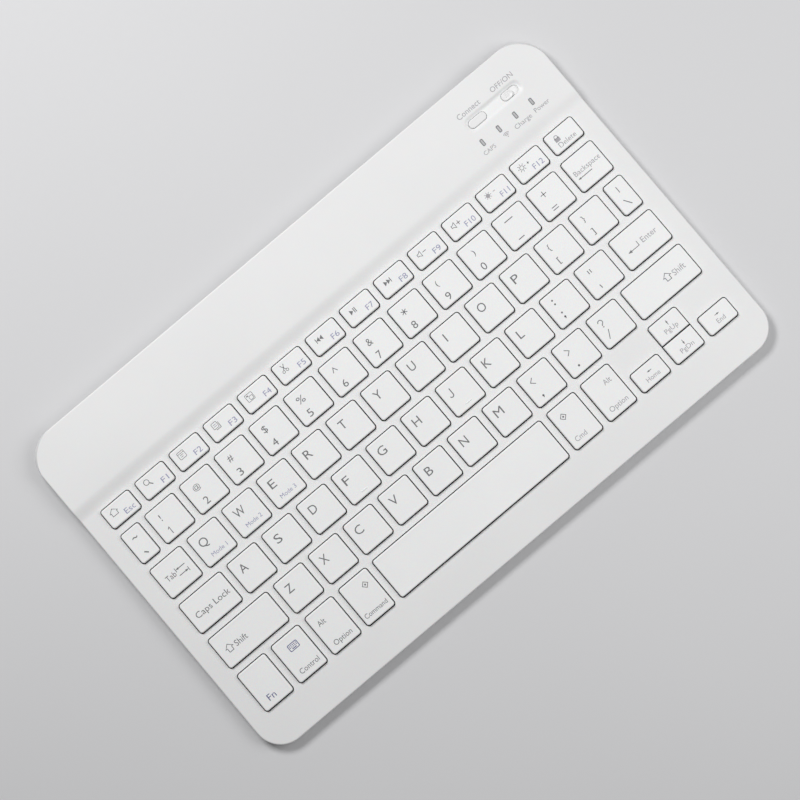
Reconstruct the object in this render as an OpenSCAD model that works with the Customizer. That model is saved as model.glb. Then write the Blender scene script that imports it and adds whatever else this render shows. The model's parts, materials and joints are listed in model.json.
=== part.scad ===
// Slim wireless keyboard for a ten-inch tablet: a two-shell case with a raised battery strip along
// the back, scissor keys over a rubber-dome membrane, and a control board at the back right corner.
// The origin is on the surface that the feet stand on, below the middle of the case.
// +X is to the right, +Y to the back and +Z up. Millimetres.

/* [Case] */
// Width of the case, left to right
body_w = 247; // [246:0.5:252]
// Depth of the case, front to back
body_d = 149.2; // [149:0.1:153]
// Radius of the case's four corners in plan
corner_r = 11; // [9:0.5:12]
// Width of the bevel round the case's top and bottom edges
edge_bevel = 0.8; // [0.5:0.1:1]
// Thickness of the case's side walls
wall_t = 1.5; // [1.3:0.1:1.6]
// Height of the feet below the case
foot_h = 0.6; // [0.4:0.1:1]
// Thickness of the bottom cover's floor
floor_t = 1; // [0.9:0.1:1.1]
// Height from the case's underside to the top of the key field
field_h = 4.3; // [4.3:0.1:4.5]
// Height from the case's underside to the top of the battery strip
strip_h = 5.7; // [5.7:0.1:6.3]
// Thickness of the top cover's skin
skin_t = 1.2; // [1.1:0.1:1.3]
// Distance from the front edge to the foot of the ramp up to the battery strip
ramp_start = 114.5; // [114.25:0.25:115]
// Length of that ramp, front to back
ramp_run = 6.5; // [5:0.5:7]

/* [Keys] */
// Distance between the middles of two letter keys
key_pitch = 17.04; // [17:0.01:17.1]
// Width of the cover's rib between two key windows
rib = 2.6; // [2.4:0.1:2.8]
// Distance from the case's side to the first key window
side_margin = 7.6; // [7.4:0.1:7.8]
// Distance from the case's front edge to the first key window
front_margin = 14.75; // [14.5:0.25:15]
// Height in plan of the front row's windows
front_row_d = 18.4; // [18.2:0.1:18.6]
// Height in plan of the function row's and the arrow keys' windows
low_key_d = 9.2; // [9:0.1:9.4]
// Width of the modifier and arrow keys' windows
modifier_w = 13.95; // [13.8:0.05:14.1]
// Width of the narrow key at the end of a row
narrow_w = 9.15; // [9.05:0.05:9.35]
// Gap between a keycap and its window
cap_gap = 0.33; // [0.3:0.01:0.36]
// Height of a keycap from its skirt to its top
cap_h = 2.1; // [2:0.1:2.2]
// How far a keycap stands above the key field at rest
cap_proud = 1.4; // [1.35:0.05:1.5]
// Travel of a key
key_travel = 1.3; // [1:0.1:1.3]

/* [Controls] */
// Middle of the finger recess, measured from the case's middle
recess_x = 96; // [95.8:0.1:96.4]
// Width of the finger recess
recess_w = 27.4; // [26.4:0.1:27.6]
// Depth of the finger recess at its back wall
recess_h = 0.6; // [0.4:0.1:0.7]
// Middle of the connect button, measured from the case's middle
button_x = 88; // [87.8:0.1:88.2]
// Length of the connect button's window
button_l = 8.2; // [8:0.1:8.4]
// Middle of the power slider's window, measured from the case's middle
slider_x = 103.8; // [103.6:0.1:104]
// Length of the power slider's window
slider_l = 7.7; // [7.5:0.1:7.9]
// Width of both windows
control_w = 3.7; // [3.6:0.1:3.8]
// Travel of the power slider, off to on
slider_travel = 2.3; // [2:0.1:2.3]
// Travel of the connect button
button_travel = 0.35; // [0.2:0.05:0.35]

/* [Hidden] */
// Stack of heights, from the surface up
case_z = foot_h;
floor_z = case_z + floor_t;
plate_t = 0.4;
plate_z = floor_z;
membrane_t = 0.25;
membrane_z = plate_z + plate_t;
membrane_top = membrane_z + membrane_t;
seam_z = case_z + 1.8;
field_z = case_z + field_h;
field_under = field_z - skin_t;
strip_z = case_z + strip_h;
strip_under = strip_z - skin_t;
cap_top = field_z + cap_proud;
cap_z = cap_top - cap_h;
cap_skin = 1;
cap_under = cap_top - cap_skin;
board_z = membrane_top;
board_t = 0.8;
board_top = board_z + board_t;

// Places in plan
front_y = -body_d / 2;
ramp_y = front_y + ramp_start;
strip_y = ramp_y + ramp_run;
field_w = body_w - 2 * side_margin;
unit_w = key_pitch - rib;
row_ys = [front_margin,
          for (n = [0:4]) front_margin + front_row_d + rib + n * key_pitch];
row_ds = [front_row_d, unit_w, unit_w, unit_w, unit_w, low_key_d];
control_y = body_d / 2 - 15.15;
recess_back = control_y + 3;
recess_front = control_y - 3.75;

// Small clearances and walls
slip = 0.2;
cap_r = 1.1;
cap_wall = 0.9;
lever_t = 0.8;
lever_b = 0.9;
lever_slack = 0.15;
bevel_step = 0.3;
cut = 1;

// A row of keys, front to back: the node each key belongs to and its window's width.
// A width of 0 takes an equal share of what the row's other keys leave.
ARROWS = ["left_arrow_key", "up_arrow_key", "down_arrow_key", "right_arrow_key"];
function letters(word) = [for (c = word) [str("key_", c), unit_w]];
function same(name, n, w) = [for (i = [1:n]) [name, w]];
ROWS = [
    concat(same("modifier_keys", 4, modifier_w), [["space_bar", 0]],
           same("modifier_keys", 2, modifier_w),
           [["left_arrow_key", modifier_w], ["up_arrow_key", modifier_w], ["right_arrow_key", modifier_w]]),
    concat([["left_shift_key", 0]], letters("zxcvbnm"), same("symbol_keys", 3, unit_w),
           [["right_shift_key", 0]]),
    concat([["caps_lock_key", 0]], letters("asdfghjkl"), same("symbol_keys", 2, unit_w), [["enter_key", 0]]),
    concat([["tab_key", 0]], letters("qwertyuiop"), same("symbol_keys", 2, unit_w),
           [["symbol_keys", narrow_w]]),
    concat([["symbol_keys", narrow_w]], same("digit_keys", 10, unit_w), same("symbol_keys", 2, unit_w),
           [["backspace_key", 0]]),
    same("function_keys", 14, 0)
];
KEY_NODES = concat([for (c = "abcdefghijklmnopqrstuvwxyz") str("key_", c)], ARROWS,
    ["space_bar", "enter_key", "backspace_key", "tab_key", "caps_lock_key", "left_shift_key",
     "right_shift_key", "digit_keys", "symbol_keys", "function_keys", "modifier_keys"]);

// Key layout. A window is [node, x, y, width, depth], from its middle.
function sum(v, n) = n == 0 ? 0 : v[n - 1] + sum(v, n - 1);
function widths(row) =
    let (given = [for (k = row) k[1]],
         free = len([for (w = given) if (w == 0) w]),
         share = (field_w - sum(given, len(given)) - rib * (len(row) - 1)) / max(free, 1))
    [for (w = given) w == 0 ? share : w];
function is_low(name) = name == "left_arrow_key" || name == "right_arrow_key";
WINDOWS = [for (r = [0:len(ROWS) - 1])
    let (ws = widths(ROWS[r]))
    for (i = [0:len(ws) - 1])
        let (name = ROWS[r][i][0],
             d = is_low(name) ? low_key_d : row_ds[r],
             x = sum(ws, i) + i * rib + ws[i] / 2 - field_w / 2)
        [name, x, front_y + row_ys[r] + d / 2, ws[i], d]];
// A cap is its window less the gap; the up and down arrows share one window.
stack_d = (front_row_d - 3 * cap_gap) / 2;
CAPS = [for (k = WINDOWS) each k[0] == "up_arrow_key"
    ? [for (s = [1, -1]) [s > 0 ? "up_arrow_key" : "down_arrow_key",
          k[1], k[2] + s * (stack_d + cap_gap) / 2, k[3] - 2 * cap_gap, stack_d]]
    : [[k[0], k[1], k[2], k[3] - 2 * cap_gap, k[4] - 2 * cap_gap]]];

// A key's scissor: whether it lies across, its length, width, tilt and the foot of its lever.
function across(k) = k[3] < k[4] * 0.75;
function hollow(k) = across(k) ? [k[4] - 2 * cap_wall, k[3] - 2 * cap_wall]
                               : [k[3] - 2 * cap_wall, k[4] - 2 * cap_wall];
function lever_len(k) = min(9.2, hollow(k)[1] - 0.9);
function lever_wid(k) = min(11, hollow(k)[0] - 0.9);
lever_mid = (membrane_top + cap_under) / 2;
lever_rise = (cap_under - membrane_top) / 2 - 0.05 - lever_t / 2;
function tilt(k) = asin(lever_rise / (lever_len(k) / 2));
function lever_foot(k) = lever_len(k) / 2 * cos(tilt(k)) + 0.3;
function dome_r(k) = min(2.8, (lever_len(k) / 2 - lever_b) * cos(tilt(k)) - 0.25);

// The space bar's wire: its pivot, half length, and the reach and rise of its arms
space = [for (k = CAPS) if (k[0] == "space_bar") k][0];
wire_r = 0.35;
wire_half = 33;
wire_y = 2.6;
wire_z = membrane_top + 0.6;
wire_arm = 4;
wire_rise = cap_under - 0.8 - wire_z;
lug_r = wire_r + 0.3;

// Screws, stakes and feet
screw_r = 0.75;
screw_spots = [[-112, -67.5], [0, -67.5], [112, -67.5], [-117.5, 52], [12, 60], [117.5, 52]];
stake_xs = [-93, -31, 31, 93];
stake_ys = [for (n = [1:5]) front_y + row_ys[n] - rib / 2];
stake_r = 0.8;
foot_spots = [for (x = [-104, 104], y = [-62, 62]) [x, y]];
foot_r = 4.5;
foot_sunk = 0.4;
plate_w = 238;
plate_front = front_y + 12.6;
plate_back = ramp_y + 0.7;
led_xs = [for (n = [0:3]) 84 + 8 * n];
led_y = 51.65;
led_w = 1.3;
led_l = 2.9;
socket_x = 96.4;
socket_size = [7.5, 5.4, 2.45];
socket_z = board_z + 0.3;
board_x0 = 76;
board_x1 = 114.2;
board_y0 = 46.4;
board_y1 = 70.4;
battery_size = [60, 23, 3.1];
battery_at = [-32, 59.6];
knob_l = 5;
switch_h = 1.1;
knob_x = slider_x - slider_l / 2 + slip / 2 + knob_l / 2;

// Outlines

// Points of a rounded rectangle about the origin, with n steps in each corner
function rounded(w, d, r, n = 3) = [for (c = [0:3]) for (s = [0:n])
    let (a = 90 * c + 90 * s / n,
         sx = c == 0 || c == 3 ? 1 : -1,
         sy = c < 2 ? 1 : -1)
    [sx * (w / 2 - r) + r * cos(a), sy * (d / 2 - r) + r * sin(a)]];

// A block with that outline, from z0 to z1
module block(w, d, r, z0, z1, n = 3) {
    translate([0, 0, z0]) linear_extrude(z1 - z0) polygon(rounded(w, d, r, n));
}

// The case's outline, moved in by inset
module case_block(inset, z0, z1) {
    block(body_w - 2 * inset, body_d - 2 * inset, corner_r - inset, z0, z1, 8);
}

// A block with round ends, for the controls
module slot(l, w, z0, z1) {
    block(l, w, w / 2 - 0.01, z0, z1, 6);
}

// A box from its lowest to its highest corner
module box(lo, hi) {
    translate(lo) cube(hi - lo);
}

// A tube of 8 sides swept along points that run mainly along X
module wire(points, r) {
    n = len(points);
    rings = [for (p = points) for (s = [0:7]) p + r * [0, cos(45 * s), sin(45 * s)]];
    sides = [for (i = [0:n - 2]) for (s = [0:7])
        let (a = 8 * i + s, b = 8 * i + (s + 1) % 8) [a, a + 8, b + 8, b]];
    polyhedron(rings, concat(sides, [[for (s = [0:7]) s], [for (s = [7:-1:0]) 8 * (n - 1) + s]]));
}

// Case

// The shell's outer form up to height z, bevelled at the top
module upper_form(z) {
    hull() {
        case_block(0, seam_z, z - edge_bevel);
        case_block(edge_bevel, seam_z, z);
    }
}

// Everything behind the ramp's slope
module strip_space() {
    rotate([90, 0, 90]) translate([0, 0, -body_w])
        linear_extrude(2 * body_w)
            polygon([[ramp_y, field_z], [strip_y, strip_z], [strip_y, strip_z + cut],
                     [body_d, strip_z + cut], [body_d, seam_z], [ramp_y, seam_z]]);
}

// Sloping finger recess, deepest at its back wall
module finger_recess() {
    slope = atan(recess_h / (recess_back - recess_front));
    intersection() {
        translate([recess_x, (recess_back + recess_front) / 2, 0])
            block(recess_w, recess_back - recess_front, 3, strip_under, strip_z + cut);
        translate([0, recess_front, strip_z]) rotate([-slope, 0, 0])
            box([recess_x - recess_w, -cut, 0], [recess_x + recess_w, 20, 5]);
    }
}

module screw_bore() {
    cylinder(h = field_z - 0.5 - seam_z, r = screw_r + 0.05, $fn = 24);
}

module top_cover() {
    color("white") difference() {
        union() {
            difference() {
                union() {
                    upper_form(field_z);
                    intersection() {
                        upper_form(strip_z);
                        strip_space();
                    }
                }
                case_block(wall_t, seam_z - cut, field_under);
                intersection() {
                    case_block(wall_t, seam_z - cut, strip_under);
                    box([-body_w, strip_y, 0], [body_w, body_d, strip_z]);
                }
            }
            for (p = screw_spots) translate([p[0], p[1], seam_z])
                cylinder(h = field_under - seam_z + (p[1] > strip_y ? strip_h - field_h : 0) + 0.1,
                         r = 2.2, $fn = 32);
            for (x = stake_xs, y = stake_ys) translate([x, y, plate_z + 0.1])
                cylinder(h = field_under - plate_z, r = stake_r, $fn = 24);
        }
        for (k = WINDOWS) translate([k[1], k[2], 0])
            block(k[3], k[4], cap_r + cap_gap, field_under - cut, field_z + cut);
        finger_recess();
        translate([button_x, control_y, 0]) slot(button_l, control_w, seam_z, strip_z + cut);
        translate([slider_x, control_y, 0]) slot(slider_l, control_w, seam_z, strip_z + cut);
        for (x = led_xs) translate([x, led_y, 0])
            block(led_w, led_l, 0.4, seam_z, strip_z + cut);
        translate([socket_x, body_d / 2, 0])
            box([-4.1, -wall_t - 0.1, seam_z - cut], [4.1, cut, socket_z + socket_size[2] + 0.15]);
        for (p = screw_spots) translate([p[0], p[1], seam_z]) screw_bore();
    }
}

module bottom_cover() {
    lip_in = wall_t + 0.08;
    color("whitesmoke") difference() {
        union() {
            difference() {
                union() {
                    hull() {
                        case_block(edge_bevel, case_z, seam_z);
                        case_block(0, case_z + edge_bevel, seam_z);
                    }
                    case_block(lip_in, seam_z - 0.2, seam_z + 0.8);
                }
                case_block(lip_in + 0.8, floor_z, seam_z + cut);
            }
            for (p = screw_spots) translate([p[0], p[1], floor_z - 0.1])
                cylinder(h = seam_z - floor_z + 0.1, r = 2.6, $fn = 32);
            for (x = [board_x0 + 3, board_x1 - 3], y = [board_y0 + 4, board_y1 - 3])
                translate([x, y, floor_z - 0.1]) cylinder(h = board_z - floor_z + 0.1, r = 1.4, $fn = 24);
        }
        for (p = screw_spots) translate([p[0], p[1], case_z]) {
            translate([0, 0, -cut]) cylinder(h = strip_h, r = screw_r + 0.15, $fn = 24);
            translate([0, 0, -0.01]) cylinder(h = 0.91, r1 = 1.7, r2 = 0.9, $fn = 32);
        }
        for (p = foot_spots) translate([p[0], p[1], case_z - cut])
            cylinder(h = cut + foot_sunk, r = foot_r + 0.1, $fn = 48);
        translate([socket_x, body_d / 2, 0])
            box([-4.1, -5, seam_z], [4.1, cut, strip_z]);
    }
}

module rubber_feet() {
    color("gainsboro") for (p = foot_spots) translate([p[0], p[1], 0])
        cylinder(h = foot_h + foot_sunk - 0.02, r = foot_r, $fn = 48);
}

module case_screws() {
    color("silver") for (p = screw_spots) translate([p[0], p[1], case_z]) difference() {
        union() {
            translate([0, 0, 0.05]) cylinder(h = 0.75, r1 = 1.6, r2 = screw_r, $fn = 32);
            translate([0, 0, 0.7]) cylinder(h = 2.9, r = screw_r, $fn = 24);
        }
        for (a = [0, 90]) rotate([0, 0, a]) translate([0, 0, 0.2]) cube([1.9, 0.35, 0.6], center = true);
    }
}

// Key mechanism

// The two feet that a key's levers rest against, as boxes grown by g
module lever_feet(k, z0, z1, g = 0) {
    translate([k[1], k[2], 0]) rotate([0, 0, across(k) ? 90 : 0]) for (s = [-1, 1])
        translate([0, s * (lever_foot(k) + 0.2), (z0 + z1) / 2])
            cube([3 + 2 * g, 0.4 + 2 * g, z1 - z0], center = true);
}

module stake_holes() {
    for (x = stake_xs, y = stake_ys) translate([x, y, plate_z - cut])
        cylinder(h = 3 * cut, r = stake_r + 0.2, $fn = 24);
}

// The two lugs that hold the ends of the space bar's wire, as boxes grown by g
module wire_lugs(z0, z1, g = 0) {
    for (s = [-1, 1]) translate([space[1] + s * (wire_half + 1.4), space[2] + wire_y, (z0 + z1) / 2])
        cube([0.8 + 2 * g, 2.2 + 2 * g, z1 - z0], center = true);
}

module base_plate() {
    color("silver") difference() {
        union() {
            box([-plate_w / 2, plate_front, plate_z], [plate_w / 2, plate_back, plate_z + plate_t]);
            for (k = CAPS) lever_feet(k, plate_z + 0.1, plate_z + 1.2);
            wire_lugs(plate_z + 0.1, wire_z + lug_r + 0.3);
        }
        stake_holes();
        translate([space[1], space[2] + wire_y, wire_z]) rotate([0, 90, 0])
            cylinder(h = 3 * wire_half, r = lug_r, center = true, $fn = 24);
    }
}

module membrane() {
    tail = [board_x0 + 2, board_x0 + 24];
    color("darkslategray") difference() {
        union() {
            box([-plate_w / 2 + 1, plate_front + 1, membrane_z], [plate_w / 2 - 1, plate_back - 1, membrane_top]);
            box([tail[0], plate_back - 3, membrane_z], [tail[1], board_y0 + 2.5, membrane_top]);
        }
        for (k = CAPS) lever_feet(k, membrane_z - cut, membrane_top + cut, 0.2);
        wire_lugs(membrane_z - cut, membrane_top + cut, 0.2);
        stake_holes();
    }
}

module rubber_domes() {
    color("ghostwhite") for (k = CAPS) {
        r = dome_r(k);
        translate([k[1], k[2], membrane_top]) rotate_extrude($fn = 32)
            polygon([[r - 0.5, 0], [r, 0], [r, 0.25], [0.55 * r, cap_under - membrane_top - 0.6],
                     [0.55 * r, cap_under - membrane_top - 0.05], [0, cap_under - membrane_top - 0.05],
                     [0, 1.5], [0.25 * r, 1.5], [0.4 * r, 1.3]]);
    }
}

// One lever: a flat frame with its pivot at the middle of its sides
module lever(l, w, pins) {
    difference() {
        union() {
            cube([w, l, lever_t], center = true);
            if (pins) rotate([0, 90, 0])
                cylinder(h = w + 2 * (lever_slack + 0.5), r = 0.2, center = true, $fn = 16);
        }
        cube([w - 2 * lever_b, l - 2 * lever_b, 2 * lever_t], center = true);
        if (!pins) rotate([0, 90, 0]) cylinder(h = w + 2, r = 0.26, center = true, $fn = 16);
    }
}

module scissor_levers() {
    color("white") for (k = CAPS) {
        l = lever_len(k);
        w = lever_wid(k);
        translate([k[1], k[2], lever_mid]) rotate([0, 0, across(k) ? 90 : 0]) {
            rotate([tilt(k), 0, 0]) lever(l, w, false);
            rotate([-tilt(k), 0, 0]) lever(l, w - 2 * (lever_b + lever_slack), true);
        }
    }
}

// The bent wire that keeps the space bar level: its ends turn in two lugs of the base plate
module space_stabilizer() {
    color("silver") translate([space[1], space[2] + wire_y, wire_z]) {
        translate([0, wire_arm, wire_rise]) rotate([0, 90, 0])
            cylinder(h = 2 * (wire_half + wire_r), r = wire_r, center = true, $fn = 24);
        for (s = [-1, 1]) {
            translate([s * wire_half, 0, 0]) rotate([-atan(wire_arm / wire_rise), 0, 0])
                cylinder(h = norm([wire_arm, wire_rise]), r = wire_r - 0.05, $fn = 24);
            translate([s * (wire_half + 1.1), 0, 0]) rotate([0, 90, 0])
                cylinder(h = 2.2 + 2 * wire_r, r = wire_r, center = true, $fn = 24);
        }
    }
}

// One keycap: a bevelled hollow cap with two claws that hold the levers
module keycap(k) {
    translate([k[1], k[2], 0]) {
        difference() {
            union() {
                block(k[3], k[4], cap_r, cap_z, cap_top - bevel_step);
                block(k[3] - 2 * bevel_step, k[4] - 2 * bevel_step, cap_r - bevel_step, cap_z, cap_top);
            }
            block(k[3] - 2 * cap_wall, k[4] - 2 * cap_wall, cap_r - cap_wall, cap_z - cut, cap_under);
        }
        rotate([0, 0, across(k) ? 90 : 0]) for (s = [-1, 1])
            translate([0, s * (lever_foot(k) + 0.15), cap_under - 0.22])
                cube([3, 0.4, 0.64], center = true);
    }
}

module keycaps(name) {
    color("white") for (k = CAPS) if (k[0] == name) keycap(k);
}

// Electronics and controls

module circuit_board() {
    color("darkgreen") difference() {
        box([board_x0, board_y0, board_z], [board_x1, board_y1, board_top]);
        box([socket_x - 4.1, board_y1 - 1.8, board_z - cut], [socket_x + 4.1, board_y1 + cut, board_top + cut]);
    }
}

module board_components() {
    module chip(x, y, size) {
        translate([x, y, board_top]) translate([-size[0] / 2, -size[1] / 2, 0]) cube(size);
    }
    color("dimgray") {
        chip(81.5, 65.5, [5, 5, 0.9]);
        chip(89, 66.5, [3.2, 2.5, 0.7]);
        chip(80.5, 57.5, [4, 3, 1.6]);
        chip(96, 51.65, [3, 1.6, 0.8]);
        for (x = led_xs) chip(x, led_y, [0.8, 1.6, 0.6]);
    }
}

module battery() {
    color("silver") translate([battery_at[0], battery_at[1], 0])
        block(battery_size[0], battery_size[1], 1.5, floor_z + 0.05, floor_z + 0.05 + battery_size[2]);
}

// Two leads from the battery's end to the board's connector
module battery_leads() {
    x0 = battery_at[0] + battery_size[0] / 2;
    x1 = 78.4;
    steps = 16;
    color("red") for (s = [-1, 1])
        wire([for (i = [0:steps]) let (t = i / steps)
            [x0 + t * (x1 - x0), 57.5 + s * (0.7 + 1.1 * sin(180 * t)) - 2.3 * sin(360 * t),
             3.5 + 0.5 * t]], 0.45);
}

module charging_socket() {
    w = socket_size[0];
    d = socket_size[1];
    h = socket_size[2];
    color("silver") translate([socket_x, body_d / 2 - 0.4, socket_z]) {
        difference() {
            box([-w / 2, -d, 0], [w / 2, 0, h]);
            box([-w / 2 + 0.3, -d + 0.6, 0.3], [w / 2 - 0.3, cut, h - 0.3]);
        }
        box([-1.9, -d + 0.5, 1.05], [1.9, -0.6, 1.6]);
    }
}

module power_switch() {
    slot_l = 1.4 + slider_travel + 0.2;
    color("dimgray") difference() {
        box([slider_x - 4.35, control_y - 1.8, board_top], [slider_x + 4.35, control_y + 1.8, board_top + switch_h]);
        box([knob_x - 0.8, control_y - 0.7, board_top + 0.6],
            [knob_x - 0.8 + slot_l, control_y + 0.7, board_top + 2]);
    }
}

// Knob with its hidden carrier, and the switch lever that its fork drives
module power_slider() {
    carrier_z = strip_under - 0.5;
    color("white") translate([knob_x, control_y, 0]) {
        slot(knob_l, control_w - 2 * slip, strip_under - 0.1, strip_z - 0.1);
        slot(10.8, 5, carrier_z, strip_under - 0.05);
        for (s = [-1, 1]) translate([s * 1.05, 0, carrier_z - 0.15]) cube([0.5, 1, 0.4], center = true);
    }
    color("black") box([knob_x - 0.7, control_y - 0.5, board_top + 0.65],
                       [knob_x + 0.7, control_y + 0.5, carrier_z - 0.05]);
}

module connect_switch() {
    color("dimgray") translate([button_x, control_y, board_top]) {
        box([-2.25, -2.25, 0], [2.25, 2.25, 0.95]);
        translate([0, 0, 0.9]) cylinder(h = 0.25, r = 0.9, $fn = 24);
    }
}

module connect_button() {
    color("white") translate([button_x, control_y, 0]) {
        slot(button_l - 2 * slip, control_w - 2 * slip, strip_under - 0.1, strip_z - 0.15);
        slot(9.2, 4.7, strip_under - 0.4, strip_under - 0.05);
        translate([0, 0, board_top + 1.55]) cylinder(h = strip_under - 0.3 - board_top - 1.55, r = 1, $fn = 24);
    }
}

module light_guides() {
    color("lightgray") for (x = led_xs) translate([x, led_y, 0]) {
        block(led_w - 0.1, led_l - 0.1, 0.35, board_top + 0.8, strip_z);
        block(led_w + 0.8, led_l + 0.8, 0.4, strip_under - 0.5, strip_under - 0.05);
    }
}

top_cover();
bottom_cover();
base_plate();
membrane();
rubber_domes();
scissor_levers();
space_stabilizer();
circuit_board();
board_components();
battery();
battery_leads();
charging_socket();
power_switch();
power_slider();
connect_switch();
connect_button();
light_guides();
rubber_feet();
case_screws();
for (name = KEY_NODES) keycaps(name);
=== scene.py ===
"""Looks of a slim white wireless keyboard for a ten-inch tablet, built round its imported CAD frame.

Lengths are millimetres until a mesh is made; only the stage and the camera are laid out in metres.
The axes and the origin are the frame's own.
"""

import json
import math
from functools import cache

import bpy
import numpy as np
from mathutils import Matrix, Vector
from mathutils.geometry import delaunay_2d_cdt


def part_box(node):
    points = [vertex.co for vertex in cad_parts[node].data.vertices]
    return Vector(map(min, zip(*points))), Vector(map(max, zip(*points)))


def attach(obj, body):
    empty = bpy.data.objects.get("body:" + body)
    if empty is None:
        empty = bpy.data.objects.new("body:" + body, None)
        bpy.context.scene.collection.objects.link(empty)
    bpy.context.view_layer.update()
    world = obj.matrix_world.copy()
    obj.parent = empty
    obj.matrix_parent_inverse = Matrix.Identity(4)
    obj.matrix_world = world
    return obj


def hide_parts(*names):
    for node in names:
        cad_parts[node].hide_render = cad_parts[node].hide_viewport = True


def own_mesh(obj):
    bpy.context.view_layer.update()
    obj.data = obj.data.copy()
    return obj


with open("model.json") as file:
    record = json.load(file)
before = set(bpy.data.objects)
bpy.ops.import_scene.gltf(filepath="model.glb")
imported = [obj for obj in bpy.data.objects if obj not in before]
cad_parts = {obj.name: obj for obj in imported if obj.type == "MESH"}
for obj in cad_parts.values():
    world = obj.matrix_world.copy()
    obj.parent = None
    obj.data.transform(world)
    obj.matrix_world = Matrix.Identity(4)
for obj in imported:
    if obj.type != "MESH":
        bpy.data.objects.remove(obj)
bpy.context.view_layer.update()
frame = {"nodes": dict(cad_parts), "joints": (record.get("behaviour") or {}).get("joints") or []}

MM = 0.001


def box_mm(node):
    """Lowest and highest corners of a CAD node at rest, in millimetres."""
    return [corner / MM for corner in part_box(node)]


cover_low, cover_high = box_mm("top_cover")
BODY_W = cover_high.x - cover_low.x
BODY_D = cover_high.y - cover_low.y
CORNER_R = 11.0
SEAM_Z = 2.4
SEAM_GROOVE = 0.12
FIELD_Z = 4.9
STRIP_Z = cover_high.z
SKIN = 1.2
WALL = 1.5
WALL_FOOT = WALL + 0.03
EDGE_R = 0.55
RAMP = (113.9 - BODY_D / 2, 120 - BODY_D / 2)
CAP_GAP = 0.33
CAP_R = 1.1
CAP_WALL = 0.9
MEMBRANE_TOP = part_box("membrane")[1].z / MM
INK = 0.012    # half the thickness of printed ink


# ---- outlines and meshes

def outline(width, depth, radii, inset, steps, at=(0, 0)):
    """Points of a rectangle with one or four corner radii, counter-clockwise from the back right."""
    radii = radii if isinstance(radii, (list, tuple)) else [radii] * 4
    points = []
    for corner, radius in enumerate(radii):
        r = max(radius - inset, 0.03)
        sx = 1 if corner in (0, 3) else -1
        sy = 1 if corner < 2 else -1
        for k in range(steps + 1):
            a = math.radians(90 * (corner + k / steps))
            points.append((at[0] + sx * (width / 2 - inset - r) + r * math.cos(a),
                           at[1] + sy * (depth / 2 - inset - r) + r * math.sin(a)))
    return points


def circle(radius, steps, at=(0, 0)):
    turns = [2 * math.pi * k / steps for k in range(steps)]
    return [(at[0] + radius * math.cos(a), at[1] + radius * math.sin(a)) for a in turns]


def at_height(points, z):
    return [(x, y, z) for x, y in points]


def loft(rings, closed=False):
    """A mesh through rings of equally many points, capped at both ends or closed on itself."""
    n = len(rings[0])
    count = len(rings)
    verts = [p for ring in rings for p in ring]
    faces = []
    for i in range(count if closed else count - 1):
        low, high = i * n, (i + 1) % count * n
        faces += [(low + k, low + (k + 1) % n, high + (k + 1) % n, high + k) for k in range(n)]
    if not closed:
        faces.append(tuple(range(n - 1, -1, -1)))
        faces.append(tuple(range((count - 1) * n, count * n)))
    return verts, faces


def lathe(profile, steps):
    """A closed mesh turned from (radius, z) points that start and end on the axis."""
    return loft([at_height(circle(max(r, 0.01), steps), z) for r, z in profile])


def stack(width, depth, radii, levels, steps, closed=False):
    """A mesh through rounded rectangles, one for each (inset, height) of the levels."""
    return loft([at_height(outline(width, depth, radii, i, steps), z) for i, z in levels], closed)


def block(width, depth, radius, low, high, bevel, steps=4):
    """An upright block with rounded corners and softened edges."""
    levels = [(bevel, low), (0, low + bevel), (0, high - bevel), (bevel, high)]
    return stack(width, depth, radius, levels, steps)


def add_object(name, data):
    """An object of that data, linked to the scene."""
    obj = bpy.data.objects.new(name, data)
    bpy.context.scene.collection.objects.link(obj)
    return obj


class Solid:
    """Closed meshes, in millimetres, that add up to one piece."""

    def __init__(self):
        self.verts, self.faces, self.slots = [], [], []

    def add(self, mesh, at=(0, 0, 0), turn=None, slot=0):
        verts, faces = mesh
        start = len(self.verts)
        turn = turn or Matrix.Identity(3)
        self.verts += [tuple(turn @ Vector(v) + Vector(at)) for v in verts]
        self.faces += [tuple(start + i for i in f) for f in faces]
        self.slots += [slot] * len(faces)
        return self

    def piece(self, name, body, materials, slot, replaces=(), sharp=35):
        """Makes the object, which rides on a body and may stand for CAD nodes."""
        mesh = bpy.data.meshes.new(name)
        mesh.from_pydata([tuple(c * MM for c in v) for v in self.verts], [], self.faces)
        for m in materials:
            mesh.materials.append(m)
        mesh.polygons.foreach_set("material_index", self.slots)
        mesh.shade_smooth()
        mesh.set_sharp_from_angle(angle=math.radians(sharp))
        obj = add_object(name, mesh)
        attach(obj, body)
        if replaces:
            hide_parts(*replaces)
        return obj


def turned(axis, degrees):
    return Matrix.Rotation(math.radians(degrees), 3, axis)


def inside(points, width, depth, radius, at=(0, 0)):
    """How far each point lies inside a rounded rectangle's edge; negative outside."""
    qx = np.abs(points[:, 0] - at[0]) - (width / 2 - radius)
    qy = np.abs(points[:, 1] - at[1]) - (depth / 2 - radius)
    outer = np.hypot(np.maximum(qx, 0), np.maximum(qy, 0))
    return radius - outer - np.minimum(np.maximum(qx, qy), 0)


def smooth(t):
    t = np.clip(t, 0, 1)
    return t * t * (3 - 2 * t)


def rounding(distance, radius):
    """How far a rounded edge has dropped at that distance from it."""
    t = np.clip(1 - distance / radius, 0, 1)
    return radius * (1 - np.sqrt(1 - t * t))


def rounding_rings(radius, count):
    return [radius * (1 - math.cos(math.radians(90 * k / count))) for k in range(count + 1)]


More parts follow.
